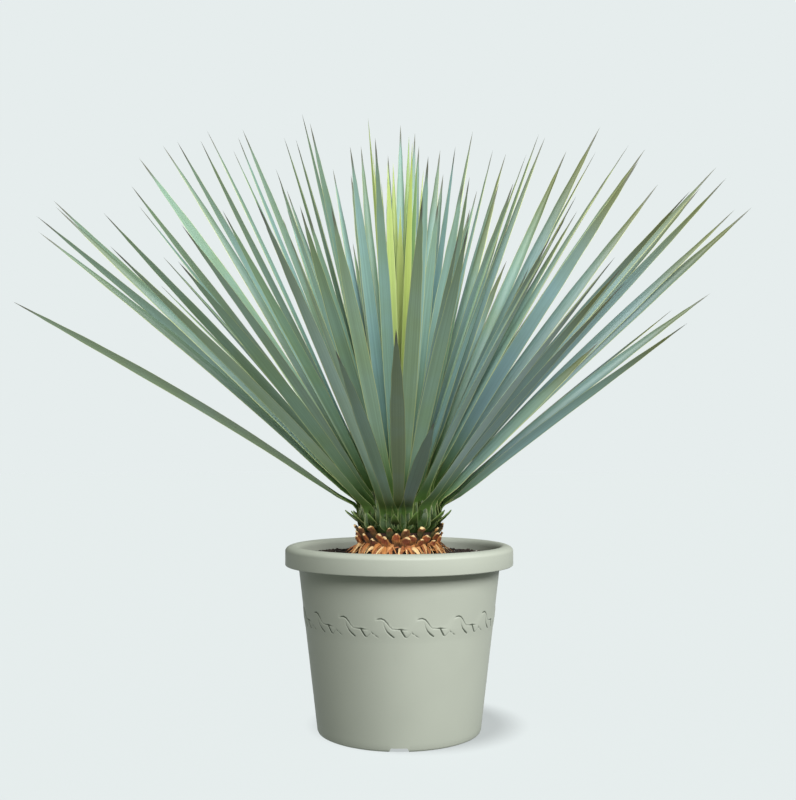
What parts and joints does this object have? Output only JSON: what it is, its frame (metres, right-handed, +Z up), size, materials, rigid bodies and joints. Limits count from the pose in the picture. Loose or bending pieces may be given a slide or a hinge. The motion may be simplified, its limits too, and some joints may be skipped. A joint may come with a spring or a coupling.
{
  "type": "potted yucca",
  "caption": "Yucca with a head of stiff blue-green blades on a short stub-covered stem, standing in soil in a round tapered pot with a rolled rim and a moulded leaf band.",
  "frame": {"origin": "on the pot's axis, at the level of the surface that the pot stands on", "axes": "+Z up along the pot's axis, -Y towards the viewer of the picture, +X to the viewer's right"},
  "size_m": [1.0265, 0.87, 0.8549],
  "materials": {
    "pot_plastic": "matt sage green moulded plastic",
    "potting_soil": "crumbly dark potting soil of composted bark and peat",
    "dry_stubs": "dry tan and red-brown leaf stubs",
    "mature_leaf": "waxy blue-green fibrous blade",
    "young_leaf": "smooth yellow-green fibrous blade"
  },
  "bodies": {
    "root": {"pot": "pot_plastic", "soil": "potting_soil", "stem": "dry_stubs", "leaf_head": "mature_leaf", "heart_leaves": "young_leaf"}
  },
  "joints": []
}
